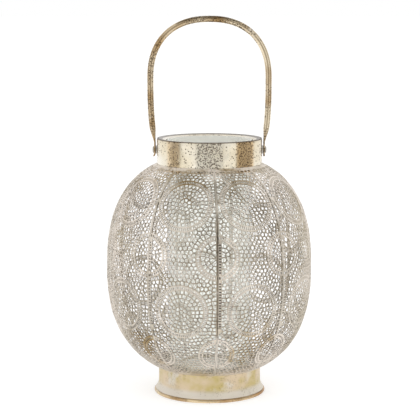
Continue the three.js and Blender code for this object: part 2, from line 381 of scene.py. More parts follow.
# Rings of each medallion, measured from its middle. The place is the turn from the gore's middle,
# in half gores, and the way up along the sheet.
medallions = [
    {
        "turn": 0, "up": 202.0, "tall": 1.0, "cells": 22.9, "inner": 23.5, "outer": 27.7, "field": 28.3,
        "slots": (24.1, 27.1), "slotStep": 1.95, "slotWidth": 1.1, "row": 4.05, "cell": 4.3,
    },
    {
        "turn": 0, "up": 95.2, "tall": 1.0, "cells": 22.1, "inner": 22.7, "outer": 26.7, "field": 27.3,
        "slots": (23.3, 26.1), "slotStep": 1.95, "slotWidth": 1.1, "row": 4.05, "cell": 4.3,
    },
    {
        "turn": 1, "up": 149.0, "tall": 1.0, "cells": 16.6, "inner": 17.4, "outer": 21.5, "field": 22.1,
        "slots": (18.2, 20.9), "slotStep": 2.5, "slotWidth": 1.4, "row": 4.1, "cell": 4.3,
    },
    {
        "turn": 1, "up": 45.5, "tall": 1.15, "cells": 13.2, "inner": 13.9, "outer": 17.3, "field": 18.1,
        "slots": (14.7, 16.5), "slotStep": 2.1, "slotWidth": 1.15, "row": 3.3, "cell": 3.3,
    },
]
# cells and slots inside a medallion, as shares of a row, a cell or a slot
ringShares = {
    "firstRow": 0.46, "lastRow": 0.8, "turnJitter": 0.09, "jitter": 0.15, "margin": 0.3, "corner": 0.18,
    "end": 0.55,
}
# slots along a gore's left seam
ladder = {
    "from": 78.0, "to": 163.0, "step": 2.7, "inset": 0.9, "width": 2.3, "height": 1.35, "corner": 0.35,
    "strip": 3.7,
}
# strip of sheet that runs on behind the next gore's edge, and is wider behind the ladder
tongue = {"from": 14.0, "to": 243.0, "reaches": (-1.2, 0.4, 1.5), "wide": 3.5, "depth": 0.85, "rows": 76}


def shellProfile(steps=240):
    rows = []
    for end, squareness, side in (
        (shell["foot"], shell["lowerSquareness"], -1),
        (shell["neck"], shell["upperSquareness"], 1),
    ):
        share = end[0] / shell["widest"]
        height = abs(end[1] - shell["belly"]) / (1 - share**squareness) ** (1 / squareness)
        endAngle = math.acos(share ** (squareness / 2))
        half = []
        for step in range(steps + 1):
            angle = endAngle * step / steps
            radius = shell["widest"] * math.cos(angle) ** (2 / squareness)
            z = shell["belly"] + side * height * math.sin(angle) ** (2 / squareness)
            half.append((radius, z, (radius - end[0]) / (shell["widest"] - end[0])))
        rows = half[::-1] if side < 0 else rows + half[1:]
    ups = [0.0]
    for low, high in zip(rows, rows[1:]):
        ups.append(ups[-1] + math.dist(low[:2], high[:2]))
    return ups, rows


# the profile again at even steps up the sheet, ten to a millimetre
profileUps, profileRows = shellProfile()
sheetHeight = profileUps[-1]
fineUps = np.arange(0, sheetHeight + 0.2, 0.1)
fineRadius, fineHeight, fineFullness = (
    np.interp(fineUps, profileUps, [row[column] for row in profileRows]).tolist() for column in range(3)
)


def lookUp(table, up):
    place = min(max(up, 0), sheetHeight) * 10
    index = int(place)
    return table[index] + (table[min(index + 1, len(table) - 1)] - table[index]) * (place - index)


def radiusAt(up):
    return lookUp(fineRadius, up)


def halfWidth(up):
    return halfTurn * radiusAt(up) - shell["seamGap"] / 2


# Flat sheet to medallion and back: across and up from the medallion's middle
def toMedallion(point, medallion, side):
    radius = radiusAt(point[1])
    turn = point[0] / radius - side * medallion["turn"] * halfTurn
    return turn * (radius + radiusAt(medallion["up"])) / 2, (point[1] - medallion["up"]) / medallion["tall"]


def fromMedallion(across, up, medallion, side):
    height = medallion["up"] + up * medallion["tall"]
    radius = radiusAt(height)
    turn = side * medallion["turn"] * halfTurn + across * 2 / (radius + radiusAt(medallion["up"]))
    return turn * radius, height


def onCircle(angle, radius, medallion, side):
    return fromMedallion(radius * math.cos(angle), radius * math.sin(angle), medallion, side)


def distanceIn(point, medallion, side):
    return math.hypot(*toMedallion(point, medallion, side))


def placedMedallions():
    # those at a seam show one half at each side of the gore
    for medallion in medallions:
        for side in (-1, 1) if medallion["turn"] else (0,):
            yield medallion, side


def partWay(here, there, share):
    return here[0] + (there[0] - here[0]) * share, here[1] + (there[1] - here[1]) * share


def clip(outline, point, normal):
    # keeps the part of an outline that lies ahead of a wall
    kept = []
    for i, here in enumerate(outline):
        before = outline[i - 1]
        a, b = ((end[0] - point[0]) * normal[0] + (end[1] - point[1]) * normal[1] for end in (before, here))
        if (a < 0) != (b < 0):
            kept.append(partWay(before, here, a / (a - b)))
        if b >= 0:
            kept.append(here)
    return kept


def areaAndMiddle(outline):
    area = across = up = 0
    for i, here in enumerate(outline):
        before = outline[i - 1]
        cross = before[0] * here[1] - here[0] * before[1]
        area += cross / 2
        across += (before[0] + here[0]) * cross / 6
        up += (before[1] + here[1]) * cross / 6
    return area, (across / area, up / area)


def cornersCut(outline):
    cut = []
    for i, here in enumerate(outline):
        after = outline[(i + 1) % len(outline)]
        long = math.dist(here, after) > cells["shortEdge"]
        for share in (cells["cornerCut"], 1 - cells["cornerCut"]) if long else (0.5,):
            cut.append(partWay(here, after, share))
    return cut


def wallOfCircle(point, medallion, side, radius, inside):
    across, up = toMedallion(point, medallion, side)
    angle = math.atan2(up, across)
    behind, touch, ahead = (onCircle(angle + turn, radius, medallion, side) for turn in (-0.02, 0, 0.02))
    along = (ahead[0] - behind[0], ahead[1] - behind[1])
    length = math.hypot(*along)
    turn = 1 if inside else -1
    return touch, (-along[1] / length * turn, along[0] / length * turn)


def ladderStrip(up):
    return ladder["strip"] if ladder["from"] - 1 < up < ladder["to"] + 1 else 0


def leftEdge(up):
    return max(shell["edge"], ladderStrip(up))


def wallsOfSheet(point):
    up = point[1]
    slope = (halfWidth(up + 1) - halfWidth(up - 1)) / 2
    length = math.hypot(1, slope)
    return [
        ((halfWidth(up) - shell["edge"], up), (-1 / length, slope / length)),
        ((-halfWidth(up) + leftEdge(up), up), (1 / length, slope / length)),
        ((0, shell["plainFoot"]), (0, 1)),
        ((0, sheetHeight - shell["plainNeck"]), (0, -1)),
    ]


def cellOf(index, seeds, tree, walls, size, inset):
    # the ground nearer to this seed than to any other, less the web's half and what the walls take
    seed = seeds[index]
    reach = size * 1.25
    outline = [(seed[0] + a * reach, seed[1] + b * reach) for a, b in ((-1, -1), (1, -1), (1, 1), (-1, 1))]
    limits = []
    for _, i, away in tree.find_range((seed[0], seed[1], 0), size * cells["sight"]):
        if i != index and away > 1e-6:
            gap = math.dist(seed, seeds[i])
            normal = ((seed[0] - seeds[i][0]) / gap, (seed[1] - seeds[i][1]) / gap)
            middle = ((seed[0] + seeds[i][0]) / 2, (seed[1] + seeds[i][1]) / 2)
            limits.append(((middle[0] + normal[0] * inset, middle[1] + normal[1] * inset), normal))
    for point, normal in limits + walls:
        outline = clip(outline, point, normal)
        if len(outline) < 3:
            return []
    return outline


def treeOf(seeds):
    tree = kdtree.KDTree(len(seeds))
    for i, seed in enumerate(seeds):
        tree.insert((seed[0], seed[1], 0), i)
    tree.balance()
    return tree


def fieldWalls(seed):
    walls = wallsOfSheet(seed)
    for medallion, side in placedMedallions():
        if distanceIn(seed, medallion, side) < medallion["field"] + 8:
            walls.append(wallOfCircle(seed, medallion, side, medallion["field"], False))
    return walls


def inField(point):
    across, up = point
    if not -halfWidth(up) + leftEdge(up) < across < halfWidth(up) - shell["edge"]:
        return False
    return all(distanceIn(point, ring, side) > ring["field"] for ring, side in placedMedallions())


def fieldSeeds():
    size = cells["size"]
    seeds = []
    row = 0
    up = shell["plainFoot"] + size * cells["firstRow"]
    while up < sheetHeight - shell["plainNeck"] - size * cells["lastRow"]:
        across = -cells["across"] + (row % 2) * size / 2
        while across < cells["across"]:
            shifts = [random.uniform(-cells["jitter"], cells["jitter"]) * size for _ in range(2)]
            point = (across + shifts[0], up + shifts[1])
            if inField(point):
                seeds.append(point)
            across += size
        row += 1
        up += size * cells["rowStep"]
    return seeds


def fieldCells():
    size = cells["size"]
    seeds = fieldSeeds()
    for _ in range(cells["relaxing"]):
        # each seed moves to the middle of its cell, which evens the cells out
        tree = treeOf(seeds)
        outlines = [cellOf(i, seeds, tree, fieldWalls(seed), size, 0) for i, seed in enumerate(seeds)]
        measured = [areaAndMiddle(outline) for outline in outlines if len(outline) >= 3]
        seeds = [middle for area, middle in measured if area > cells["smallest"]]
    tree = treeOf(seeds)
    return [cellOf(i, seeds, tree, fieldWalls(seed), size, cells["web"] / 2) for i, seed in enumerate(seeds)]


def medallionSeeds(medallion, side):
    seeds = []
    twist, jitter = ringShares["turnJitter"], ringShares["jitter"]
    ring = medallion["cells"] - medallion["row"] * ringShares["firstRow"]
    while ring > medallion["row"] * ringShares["lastRow"]:
        count = max(6, round(2 * math.pi * ring / medallion["cell"]))
        start = random.uniform(0, math.pi)
        for i in range(count):
            angle = start + 2 * math.pi * (i + random.uniform(-twist, twist)) / count
            seeds.append(onCircle(angle, ring + random.uniform(-jitter, jitter), medallion, side))
        ring -= medallion["row"]
    seeds.append(onCircle(0, 0, medallion, side))
    right = shell["edge"]
    left = leftEdge(medallion["up"]) if side < 0 else right
    margin = medallion["cell"] * ringShares["margin"]
    return [
        (across, up) for across, up in seeds
        if -halfWidth(up) + left + margin < across < halfWidth(up) - right - margin
    ]


def medallionCells(medallion, side):
    seeds = medallionSeeds(medallion, side)
    tree = treeOf(seeds)
    outlines = []
    for i, seed in enumerate(seeds):
        walls = wallsOfSheet(seed)
        if distanceIn(seed, medallion, side) > 1:
            walls.append(wallOfCircle(seed, medallion, side, medallion["cells"], True))
        outlines.append(cellOf(i, seeds, tree, walls, medallion["cell"], cells["web"] / 2))
    return outlines


def ringSlots(medallion, side):
    low, high = medallion["slots"]
    count = round(2 * math.pi * (low + high) / 2 / medallion["slotStep"])
    half = medallion["slotWidth"] / (low + high)
    end = half * ringShares["end"]
    corner = (high - low) * ringShares["corner"]
    shape = (
        (low + corner, -half), (high - corner, -half), (high, -end), (high, end),
        (high - corner, half), (low + corner, half), (low, end), (low, -end),
    )
    slots = []
    for i in range(count):
        middle = 2 * math.pi * (i + 0.5) / count
        slots.append([onCircle(middle + angle, radius, medallion, side) for radius, angle in shape])
    return slots


def clearOfRings(point):
    return all(
        not medallion["cells"] - 0.3 < distanceIn(point, medallion, side) < medallion["field"] + 0.6
        for medallion, side in placedMedallions()
        if side < 0
    )


def ladderSlots():
    half, low, corner = ladder["height"] / 2, ladder["height"] / 4, ladder["corner"]
    slots = []
    up = ladder["from"]
    while up < ladder["to"]:
        left = -halfWidth(up) + ladder["inset"]
        right = left + ladder["width"]
        if clearOfRings((left + 1.5, up)):
            lower = [(left, -low), (left + corner, -half), (right - corner, -half), (right, -low)]
            upper = [(across, -rise) for across, rise in lower[::-1]]
            slots.append([(across, up + rise) for across, rise in lower + upper])
        up += ladder["step"]
    return slots


def insideSheet(outline):
    low, high, margin = shell["plainFoot"] * 0.6, sheetHeight - 1.5, shell["slotMargin"]
    return all(abs(across) < halfWidth(up) - margin and low < up < high for across, up in outline)


def sheetPoint(point, lift):
    # where a point of the flat sheet lies on the shell, lifted off its face
    across, up = point
    radius = radiusAt(up)
    turn = across / radius
    share = turn / (halfTurn - shell["seamGap"] / 2 / radius)
    above, below = min(up + 0.5, sheetHeight), max(up - 0.5, 0)
    rise = lookUp(fineHeight, above) - lookUp(fineHeight, below)
    spread = radiusAt(above) - radiusAt(below)
    length = math.hypot(rise, spread)
    out = radius - shell["crease"] * lookUp(fineFullness, up) * share**2 + lift * rise / length
    z = lookUp(fineHeight, up) - lift * spread / length
    return out * math.sin(turn) * mm, -out * math.cos(turn) * mm, z * mm


def goreHoles():
    # every opening of a gore, and how many of them are cells and not slots
    holes = fieldCells()
    for medallion, side in placedMedallions():
        holes += medallionCells(medallion, side)
    holes = [hole for hole in holes if len(hole) >= 3 and areaAndMiddle(hole)[0] > shell["smallestHole"]]
    holes = [cornersCut(hole) for hole in holes]
    cellCount = len(holes)
    for medallion, side in placedMedallions():
        holes += [slot for slot in ringSlots(medallion, side) if insideSheet(slot)]
    holes += ladderSlots()
    print("gore: holes", len(holes))
    return holes, cellCount


def sheetBorder(shares):
    ups = np.linspace(0, sheetHeight, shell["sidePoints"]).tolist()
    border = [(-halfWidth(up), up) for up in ups[::-1]]
    border += [(share * halfWidth(0), 0) for share in shares]
    border += [(halfWidth(up), up) for up in ups]
    return border + [(-share * halfWidth(sheetHeight), sheetHeight) for share in shares]


def addTongue(spots, faces, wide):
    rows = []
    for up in np.linspace(tongue["from"], tongue["to"], tongue["rows"]).tolist():
        reaches = tongue["reaches"] + ((tongue["wide"],) if ladderStrip(up) else ())
        rows.append(range(len(spots), len(spots) + len(reaches)))
        spots += [sheetPoint((halfWidth(up) + reach, up), -tongue["depth"]) for reach in reaches]
        wide += [float(reach == tongue["wide"]) for reach in reaches]
    for low, high in zip(rows, rows[1:]):
        faces += zip(low, low[1:], high[1:], high)


# One gore's outer face. The holes are cut by triangulating the flat sheet round their outlines, and
# it carries how its inner face shifts to narrow each hole, and where seam, rings and tongue are.
def goreSheet():
    holes, cellCount = goreHoles()
    points, lifts, inwards, owners, edges = [], [], [], [], []
    still = Vector((0, 0))

    def addPoint(point, lift=0, inward=still, owner=-1):
        points.append(Vector(point))
        lifts.append(lift)
        inwards.append(inward)
        owners.append(owner)

    def addLoop(loop, owner):
        first = len(points)
        edges.extend((first + i, first + (i + 1) % len(loop)) for i in range(len(loop)))
        middle = Vector(areaAndMiddle(loop)[1])
        for point in loop:
            inward = middle - Vector(point) if owner >= 0 else still
            addPoint(point, 0, inward * min(0.4, shell["taper"] / max(inward.length, 0.01)), owner)

    shares = np.linspace(-1, 1, shell["endPoints"]).tolist()[1:-1]
    border = sheetBorder(shares)
    addLoop(border, -1)
    for owner, hole in enumerate(holes):
        addLoop(hole, owner)
    for medallion, side in placedMedallions():
        for radius in (medallion["inner"], medallion["outer"]):
            count = round(2 * math.pi * radius / shell["ringStep"])
            for i in range(count):
                point = onCircle(2 * math.pi * i / count, radius, medallion, side)
                if abs(point[0]) < halfWidth(point[1]) - 0.4:
                    addPoint(point, shell["crest"])
    for up in (*shell["plainRows"], sheetHeight - shell["rowUnderNeck"]):
        for share in shares:
            addPoint((share * halfWidth(up), up))

    flatPoints, _, faces, sources = geometry.delaunay_2d_cdt(points, edges, [], 0, 1e-5, True)[:4]
    sources = [s[0] if s else None for s in sources]

    def carried(values, otherwise):
        return [otherwise if s is None else values[s] for s in sources]

    owner, lift, inward = carried(owners, -1), carried(lifts, 0), carried(inwards, still)
    faces = [tuple(f) for f in faces if not (owner[f[0]] == owner[f[1]] == owner[f[2]] and owner[f[0]] >= 0)]
    print("gore: faces of one side", len(faces))
    spots = [sheetPoint(p, h) for p, h in zip(flatPoints, lift)]
    taper = [Vector(sheetPoint(p + i, h)) - Vector(s) for p, i, h, s in zip(flatPoints, inward, lift, spots)]
    onSeam = [float(i < len(border) and 1 < point[1] < sheetHeight - 1) for i, point in enumerate(points)]
    seam = carried(onSeam, 0.0)
    crest = [float(height > 0 or number >= cellCount) for height, number in zip(lift, owner)]
    wide = [0.0] * len(spots)
    addTongue(spots, faces, wide)
    added = len(spots) - len(seam)
    taper += [Vector((0, 0, 0))] * added
    seam += [1.0] * added
    crest += [1.0] * added
    mesh = bpy.data.meshes.new("shell_gore")
    mesh.from_pydata(spots, [], faces)
    mesh.attributes.new("taper", "FLOAT_VECTOR", "POINT").data.foreach_set("vector", np.array(taper).ravel())
    for label, values in (("seam", seam), ("crest", crest), ("wide", wide)):
        mesh.attributes.new(label, "FLOAT", "POINT").data.foreach_set("value", values)
    piece = bpy.data.objects.new("shell_gore", mesh)
    bpy.context.collection.objects.link(piece)
    return piece


def copyPiece(piece):
    copied = piece.copy()
    copied.data = piece.data.copy()
    bpy.context.collection.objects.link(copied)
    return copied


def narrowTongue(gore):
    piece = copyPiece(gore)
    mesh = bmesh.new()
    mesh.from_mesh(piece.data)
    wide = mesh.verts.layers.float["wide"]
    bmesh.ops.delete(mesh, geom=[v for v in mesh.verts if v[wide] > 0.5], context="VERTS")
    mesh.to_mesh(piece.data)
    mesh.free()
    return piece


def thicken(gore):
    outerCount = len(gore.data.vertices)
    addSlots(gore, 3)
    wall = addWall(gore, shell["sheet"])
    wall.use_even_offset = False
    wall.material_offset_rim = 1
    wall.material_offset = 2
    applyModifiers(gore)
    taper = gore.data.attributes["taper"].data
    for vert in gore.data.vertices[outerCount:]:
        vert.co += taper[vert.index].vector
    settle(gore, 32)


def buildGores():
    # the last gore's tongue backs the ladder at the front seam
    frontGore = goreSheet()
    plainGore = narrowTongue(frontGore)
    thicken(frontGore)
    thicken(plainGore)
    gores = []
    for number in range(1, shell["gores"] + 1):
        piece = copyPiece(frontGore if number == shell["gores"] else plainGore)
        piece.name = piece.data.name = f"pierced_gore_{number}"
        piece.rotation_euler[2] = math.radians(shell["firstSeam"]) + halfTurn * (2 * number - 1)
        makeActive(piece)
        bpy.ops.object.transform_apply(location=False, rotation=True, scale=False)
        standsFor(piece, f"shell_gore_{number}")
        gores.append(piece)
    bpy.data.objects.remove(frontGore)
    bpy.data.objects.remove(plainGore)
    triangles = sum(len(face.vertices) - 2 for face in gores[0].data.polygons)
    print("gores built", len(gores), "triangles each", triangles)
    return gores


shellFinish = {
    "gold": tone(219, 209, 191), "warm": tone(205, 189, 160), "dark": tone(66, 55, 42),
    "patina": tone(170, 140, 80), "white": tone(243, 233, 221), "green": tone(228, 219, 206),
    "inside": tone(247, 238, 227), "seam": tone(230, 225, 215),
    "pitSize": 600.0, "patches": 20.0, "pitStrength": 0.6, "pitDepth": 0.0001, "washSize": 28.0,
    "warmSize": 14.0, "unevenSize": 45.0, "uneven": 0.09, "leastOld": 0.12, "wash": 0.27, "washLost": 0.45,
    # the extra paint over the far left side of the shell is painted light along that edge
    "leftPaintedLight": 0.3, "fromLeft": (-0.080, -0.098), "paintKeeps": 0.45, "roughness": 0.34,
    "paintRoughness": 0.14, "paintDulls": 0.55,
    # where masks ease from 0 to 1
    "seamEase": (0.55, 0.95), "warmEase": (0.40, 0.64), "bareEase": (0.38, 0.5), "greenEase": (0.56, 0.42),
    # Stretches of X, Y and Z in metres: low, high and soft margin, or from where to where they ease in.
    # The deep shade is painted shade: it darkens the cut edges in the middle, front and back, in place of the
    # shade of the hollow behind them.
    # painted shadow: the seams at the front and at the right side are darkened in these stretches
    "frontSeamShadow": ((0.0, 0.02, 0.006), (-0.02, -0.04), (0.082, 0.186, 0.014)),
    "sideSeamShadow": ((0.088, 0.094), (-0.03, 0.0, 0.005), (0.112, 0.174, 0.02)),
    "deepShade": ((-0.062, 0.062, 0.030), None, (0.064, 0.206, 0.025)), "shallow": 0.15,
}
# where the metal has gone dark, and where the gold has been rubbed free: place in metres, reach and strength
tarnished = [
    ((-0.004, -0.102, 0.114), 0.062, 0.65), ((-0.016, -0.090, 0.210), 0.050, 0.4),
    ((0.030, -0.080, 0.218), 0.040, 0.4), ((-0.008, -0.104, 0.150), 0.034, 1.0),
    ((0.006, -0.105, 0.106), 0.034, 1.0), ((-0.047, -0.085, 0.074), 0.026, 0.9),
    ((-0.006, -0.100, 0.178), 0.022, 0.9), ((0.052, -0.085, 0.192), 0.030, 0.8),
    ((-0.017, -0.100, 0.100), 0.038, 0.7), ((0.029, -0.098, 0.098), 0.038, 0.7),
    ((0.062, -0.082, 0.134), 0.056, 0.8), ((-0.064, -0.080, 0.112), 0.044, 0.7),
    ((-0.062, -0.070, 0.072), 0.030, 0.5), ((0.058, -0.080, 0.076), 0.026, 0.45),
]
rubbed = [
    ((-0.030, -0.066, 0.228), 0.036, 0.9), ((0.022, -0.066, 0.228), 0.024, 0.7),
    ((-0.062, -0.068, 0.066), 0.028, 0.9), ((0.044, -0.085, 0.068), 0.028, 0.8),
]
# the three sides of the sheet, in the order of their slots
shellSides = {
    "pierced_outside": {
        "cover": 0.6, "metallic": 0.85, "seams": 0.12, "crests": 0.9, "tarnish": 0.42, "shade": None,
        "pits": 0.4, "paint": "white",
    },
    "pierced_cut_edge": {
        "cover": 0.5, "metallic": 0.5, "seams": 0, "crests": 0, "tarnish": 0.0, "shade": (0.88, 0.97),
        "pits": 0.6, "paint": "white",
    },
    "pierced_inside": {
        "cover": 1.3, "metallic": 0.1, "seams": 0, "crests": 0, "tarnish": 0.0, "shade": None,
        "pits": 0.2, "paint": "inside",
    },
}


def addSpots(tree, place, spots, uneven):
    # the strongest of several round patches, with uneven edges
    most = 0.0
    for centre, reach, strength in spots:
        away = addNode(tree, "VectorMath", {0: place, 1: centre}, operation="DISTANCE").outputs["Value"]
        near = easeTo(tree, plus(tree, away, uneven), reach, reach * 0.4)
        most = largest(tree, most, times(tree, near, strength))
    return most


def region(tree, axes, stretches):
    parts = []
    for axis, stretch in zip(axes, stretches):
        if stretch:
            limit = between if len(stretch) == 3 else easeTo
            parts.append(limit(tree, axis, *stretch))
    return times(tree, *parts)


def painted(tree, name):
    return addNode(tree, "Attribute", {}, attribute_name=name).outputs["Fac"]


def piercedMetal(name, given):
    finish = shellFinish
    material, tree, shader, place = newMaterial(name, given["metallic"], finish["roughness"])
    axes = addNode(tree, "SeparateXYZ", {0: place}).outputs
    gathered = {"Size": finish["pitSize"], "Patches": finish["patches"], "Gathered": given["pits"]}
    pitted = addMask(tree, pits, place, Spread=0.0, **gathered)
    warm = addNoise(tree, place, finish["warmSize"], 3, 0.6)
    uneven = minus(tree, addNoise(tree, place, finish["unevenSize"], 3, 0.6), 0.5)
    uneven = times(tree, uneven, finish["uneven"])
    old = largest(tree, addSpots(tree, place, tarnished, uneven), finish["leastOld"])
    along = easeTo(tree, painted(tree, "seam"), *finish["seamEase"])

    # whitish paint, worn off where the metal is old and thick on the crests, and laid on thicker over the far
    # left side as painted light along that edge
    cover = minus(tree, finish["wash"], times(tree, old, finish["washLost"]))
    cover = plus(tree, cover, times(tree, easeTo(tree, axes[0], *finish["fromLeft"]), finish["leftPaintedLight"]))
    white = addMask(tree, wash, place, Size=finish["washSize"], Cover=plus(tree, cover, given["cover"]))
    color = mixColor(tree, easeTo(tree, warm, *finish["warmEase"]), finish["gold"], finish["warm"])
    if given["crests"]:
        white = largest(tree, white, times(tree, painted(tree, "crest"), given["crests"]))
        bare = easeTo(tree, warm, *finish["bareEase"])
        bare = times(tree, addSpots(tree, place, rubbed, uneven), bare)
        color = mixColor(tree, bare, color, finish["patina"])
        white = times(tree, white, minus(tree, 1, bare))
    paint = mixColor(tree, easeTo(tree, warm, *finish["greenEase"]), finish[given["paint"]], finish["green"])
    color = mixColor(tree, white, color, paint)

    # tarnish, pits and the seams, with painted light and shadow at the seams
    fresh = minus(tree, 1, times(tree, white, finish["paintKeeps"]))
    color = mixColor(tree, times(tree, old, given["tarnish"], fresh), color, finish["dark"])
    color = mixColor(tree, times(tree, pitted, finish["pitStrength"]), color, finish["dark"])
    # The seam borders and the tongue behind them are painted pale, which is painted light where the tongue
    # lies in the gap's shade. In the two seam stretches they get a painted shadow line instead, and elsewhere
    # a faint dark joint.
    if given["seams"]:
        dark = largest(tree, *(region(tree, axes, finish[seam]) for seam in ("frontSeamShadow", "sideSeamShadow")))
        strength = plus(tree, times(tree, dark, 1 - given["seams"]), given["seams"])
        color = mixColor(tree, times(tree, along, minus(tree, 1, dark)), color, finish["seam"])
        color = mixColor(tree, times(tree, along, strength), color, finish["dark"])
        white = largest(tree, white, along)
    # Painted shade on the cut edges: strong in the middle, front and back, weaker towards the sides, deeper
    # where the metal is tarnished, and none along the seams.
    if given["shade"]:
        light, deep = given["shade"]
        ahead = times(tree, region(tree, axes, finish["deepShade"]), 1 - finish["shallow"])
        depth = plus(tree, times(tree, old, deep - light), light)
        ahead = largest(tree, plus(tree, ahead, finish["shallow"]), old)
        color = mixColor(tree, times(tree, depth, minus(tree, 1, along), ahead), color, finish["dark"])
    feed(tree, color, shader["Base Color"])
    rough = plus(tree, times(tree, white, finish["paintRoughness"]), finish["roughness"])
    feed(tree, rough, shader["Roughness"])
    dull = minus(tree, 1, times(tree, white, finish["paintDulls"]))
    feed(tree, times(tree, dull, given["metallic"]), shader["Metallic"])
    addBump(tree, shader, pitted, finish["pitDepth"])
    return material


gores = buildGores()
sides = [piercedMetal(name, given) for name, given in shellSides.items()]
for piece in gores:
    dress(piece, *sides)


# Neck: a rolled band with its lap near the front
neck = {"outer": 53.5, "sheet": 1.0, "rounding": 0.25, "low": 231.0, "rim": 262.7, "lap": (2.4, 7.0, 0.4)}
neckFinish = {
    "gold": tone(240, 234, 220), "warm": tone(228, 216, 190), "dark": tone(78, 60, 42),
    "white": tone(222, 217, 202), "brown": tone(214, 176, 118), "metallic": 0.92, "roughness": 0.22,
    "pitSize": 720.0, "pits": 0.28, "patches": 22.0, "pitStrength": 0.95, "washSize": 30.0, "wash": 0.35,
    # the top edge of the band carries a painted shadow line
    "washStrength": 0.5, "warmSize": 22.0, "shadowAbove": 0.2619, "dents": 0.0009,
    # At the front these stretches lie on the bands that the rolled band reflects: the pale middle and the
    # brown at the sides are partly painted reflection, and the specks are the metal's own pits.
    "spots": (
        (-0.011, 0.011, 0.85, 0.5, 0.0), (0.029, 0.042, 1.0, 0.0, 0.7), (-0.040, -0.032, 0.5, 0.0, 0.45),
    ),
}
neckInside = dict(
    neckFinish, gold=tone(232, 232, 226), warm=tone(226, 226, 218), pits=0.0, roughness=0.5,
    metallic=0.15, spots=(),
)


def buildNeck():
    heights = (neck["low"], 237, 244, 252, 258, neck["rim"])
    piece = turnSkin("neck_band", [(neck["outer"], z) for z in heights], 360)
    finishSheet(piece, neck["sheet"], neck["rounding"], smoothAngle=30, lap=neck["lap"], innerSlot=1)
    standsFor(piece, "neck_collar")
    return piece


dress(buildNeck(), agedGold("neck_gold", neckFinish), agedGold("neck_inside", neckInside))


# Lip: a ring that slopes in and down from the rim to the mouth
lip = {"outer": 52.2, "mouth": 44.3, "top": 262.1, "drop": 2.0, "sheet": 0.8, "rounding": 0.2}
# the lip keeps the neck's painted shadow line along its top
lipFinish = dict(neckFinish, pits=0.3, wash=0.6, metallic=0.5, spots=())


def buildLip():
    mouth, outer = (lip["mouth"], lip["top"] - lip["drop"]), (lip["outer"], lip["top"])
    skin = [mouth, (46.8, 260.8), (49.5, 261.5), outer]
    piece = turnSkin("neck_lip_ring", skin, 180)
    finishSheet(piece, lip["sheet"], lip["rounding"], offset=1)
    standsFor(piece, "neck_lip")
    return piece


dress(buildLip(), agedGold("lip_gold", lipFinish))


# Foot: a rolled band that flares out at the bottom, and the wire bead under it
foot = {
    "outer": 52.5, "sheet": 1.0, "rounding": 0.25, "top": 31.0, "flareFrom": 12.0, "flareTo": 3.7,
    "reach": 3.5, "flareSteps": 8, "lap": (40.5, 6.0, 0.4),
}
footFinish = {
    "gold": tone(218, 199, 170), "warm": tone(201, 183, 126), "dark": tone(120, 98, 66),
    "white": tone(234, 228, 218), "metallic": 0.85, "roughness": 0.34, "pitSize": 900.0, "pits": 0.35,
    "patches": 40.0, "pitStrength": 0.3, "washSize": 40.0, "wash": 0.42, "washStrength": 0.75,
    "warmSize": 60.0, "washBelow": 0.0100, "dents": 0.0009,
}


def buildFoot():
    skin = [(foot["outer"], z) for z in (foot["top"], 26, 20, 14.5)]
    for step in range(foot["flareSteps"] + 1):
        share = step / foot["flareSteps"]
        out = foot["outer"] + foot["reach"] * (1 - math.cos(share * math.pi / 2))
        skin.append((out, foot["flareFrom"] - share * (foot["flareFrom"] - foot["flareTo"])))
    piece = turnSkin("foot_band", skin[::-1], 360)
    finishSheet(piece, foot["sheet"], foot["rounding"], smoothAngle=30, lap=foot["lap"])
    standsFor(piece, "foot_collar")
    return piece


dress(buildFoot(), agedGold("foot_gold", footFinish))

bead = {"ring": 55.5, "wire": 1.7, "flat": 0.15}
beadFinish = dict(
    footFinish, gold=tone(232, 212, 176), warm=tone(170, 128, 74), pits=0.5, pitStrength=0.6, warmSize=22.0,
    wash=0.35, washBelow=-1.0, roughness=0.24,
)


def buildBead():
    deselectAll()
    bpy.ops.mesh.primitive_torus_add(
        major_radius=bead["ring"] * mm, minor_radius=bead["wire"] * mm, major_segments=180, minor_segments=20,
        location=(0, 0, (bead["wire"] - bead["flat"]) * mm),
    )
    piece = bpy.context.object
    piece.name = piece.data.name = "foot_bead_wire"
    placeIntoMesh()
    editAll(piece)
    bpy.ops.mesh.bisect(plane_co=(0, 0, 0), plane_no=(0, 0, 1), use_fill=True, clear_inner=True)
    leaveEdit()
    closeUp(piece)
    settle(piece, 40)
    standsFor(piece, "foot_bead")
    return piece


dress(buildBead(), agedGold("bead_gold", beadFinish))


# Pan: the floor of the shell, pressed up in the middle into a seat for the candle
pan = {
    "radius": 51.2, "top": 28.0, "skirt": 8.0, "seat": 39.8, "seatTop": 31.0, "sheet": 1.0, "rounding": 0.4,
}
steelFinish = {
    "gold": tone(226, 224, 218), "warm": tone(208, 203, 192), "dark": tone(104, 98, 90),
    "white": tone(234, 232, 226), "metallic": 0.6, "roughness": 0.4, "pitSize": 500.0, "pits": 0.35,
    "patches": 30.0, "pitStrength": 0.5, "washSize": 40.0, "wash": 0.3, "washStrength": 0.4, "warmSize": 30.0,
}
steel = agedGold("plain_steel", steelFinish)


def buildPan():
    skin = [
        (pan["seat"], pan["seatTop"]), (pan["seat"], pan["top"]), (45.0, pan["top"]),
        (pan["radius"], pan["top"]), (pan["radius"], pan["top"] - pan["skirt"]),
    ]
    piece = turnSkin("candle_pan", skin, 120, capFirst=True)
    finishSheet(piece, pan["sheet"], pan["rounding"], segments=3)
    standsFor(piece, "base_pan")
    return piece


dress(buildPan(), steel)


